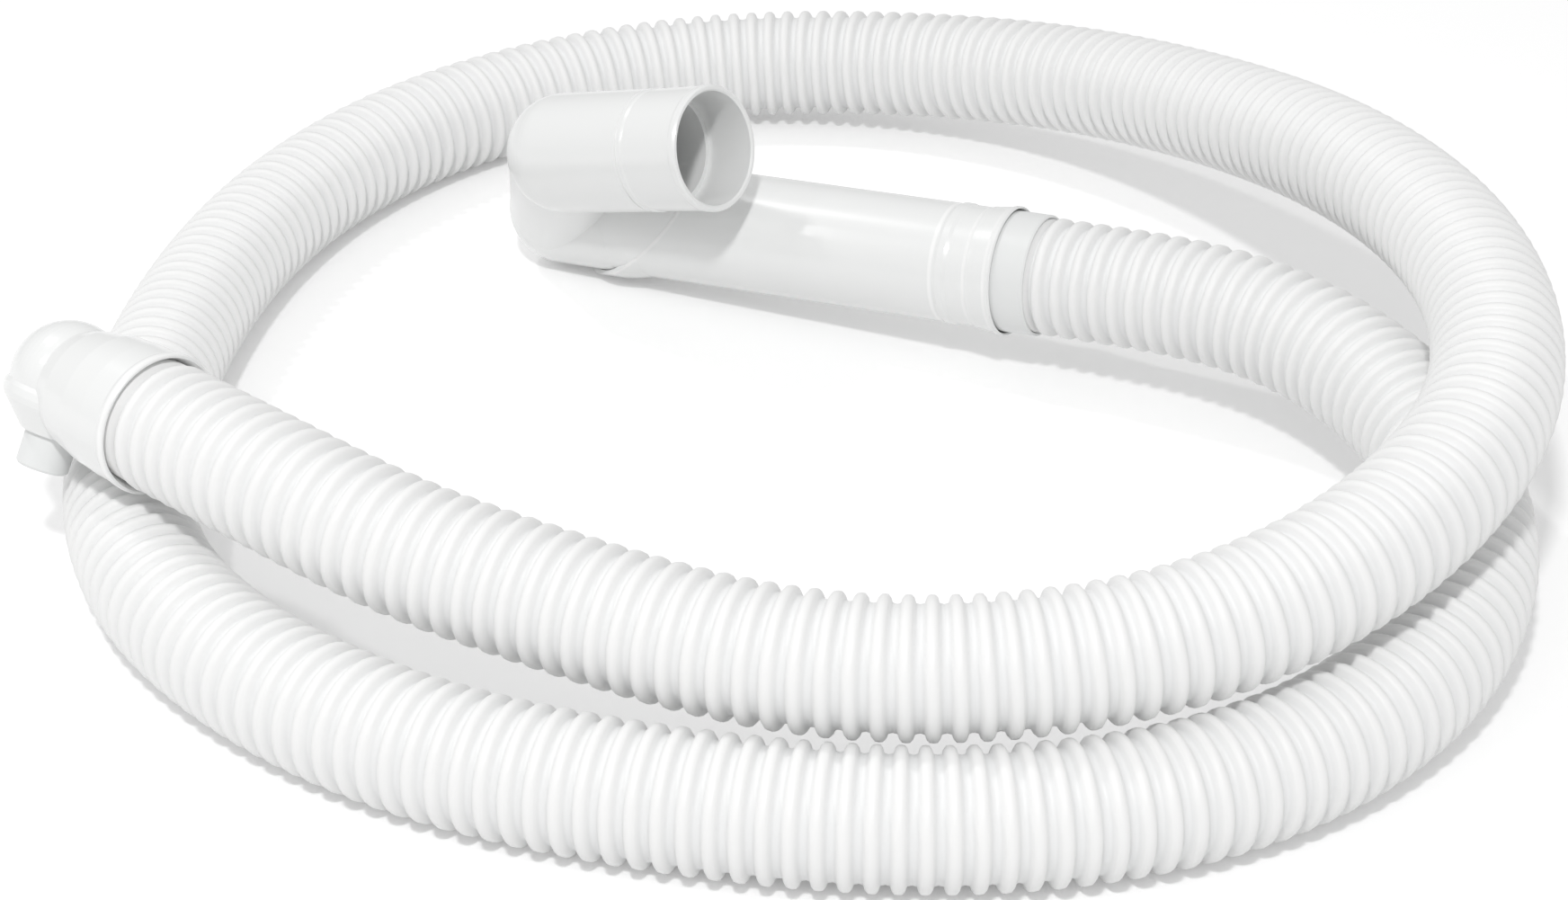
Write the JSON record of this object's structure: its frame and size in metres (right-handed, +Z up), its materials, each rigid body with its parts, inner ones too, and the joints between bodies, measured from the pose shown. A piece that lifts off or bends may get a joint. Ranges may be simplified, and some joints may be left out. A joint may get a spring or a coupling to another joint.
{
  "type": "vacuum hose",
  "caption": "Corrugated suction hose in a loose coil, with a swivel return-bend end and a moulded elbow cuff with a spigot.",
  "frame": {"origin": "on the floor under the middle of the box round the end fittings", "axes": "+Z up, +X to the right and +Y away from a viewer who faces the coil's open front"},
  "size_m": [0.4943, 0.5638, 0.0997],
  "materials": {
    "hose": "satin white corrugated hose wall",
    "fitting": "smooth moulded, slightly glossy white",
    "seal": "black rubber",
    "clip": "natural nylon"
  },
  "bodies": {
    "hose_run": {"hose": "hose", "collar_a": "fitting", "washer_a": "seal", "oring_a": "seal", "clip_a": "clip", "elbow_b": "fitting", "washer_b": "seal", "spigot_b": "fitting"},
    "swivel_tube": {"tube_a": "fitting", "u_bend": "fitting", "sleeve_a": "fitting"}
  },
  "joints": [
    {"name": "swivel", "type": "hinge", "parent": "hose_run", "child": "swivel_tube", "pos_m": [0.13684, 0.04758, 0.03524], "axis": [0.892, -0.446, 0.0743], "continuous": true}
  ]
}
